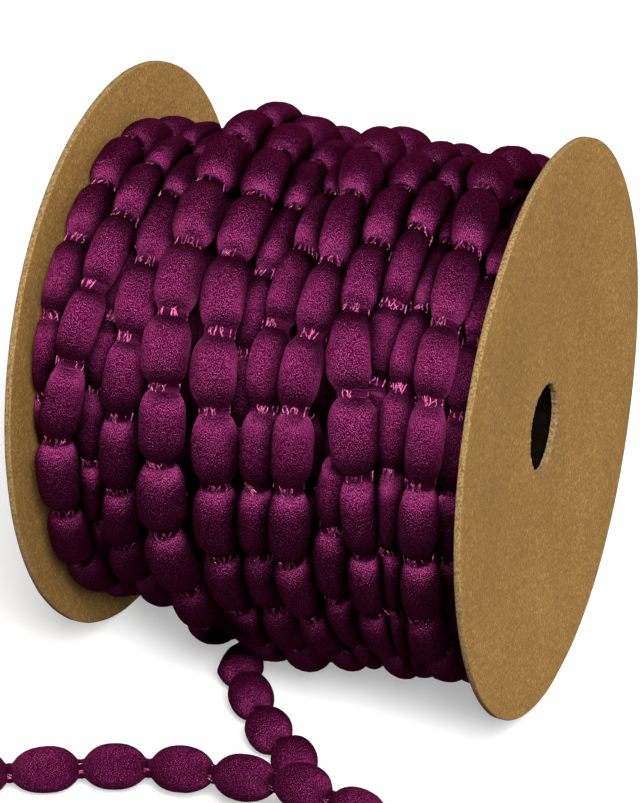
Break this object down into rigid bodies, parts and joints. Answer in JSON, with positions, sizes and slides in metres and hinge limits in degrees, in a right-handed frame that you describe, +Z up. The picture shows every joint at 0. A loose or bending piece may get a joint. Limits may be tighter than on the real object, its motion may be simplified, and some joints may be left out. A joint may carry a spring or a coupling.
{
  "type": "roll of pompom trim on a card spool",
  "caption": "Card spool wound full of plump bobble string, with a round hole through its middle and a loose end that loops over itself on the ground.",
  "frame": {"origin": "on the ground, below the middle of the spool's axle", "axes": "+X along the axle from the left flange to the right one, -Y to the side where the loose end comes out, +Z up"},
  "size_m": [0.1132, 0.1433, 0.0996],
  "materials": {
    "card": "uncoated brown card with fine fibres",
    "trim": "satin polyester yarn in deep burgundy purple"
  },
  "bodies": {
    "root": {"flange_left": "card", "flange_right": "card", "core": "card", "wound_trim": "trim", "loose_end": "trim"}
  },
  "joints": []
}
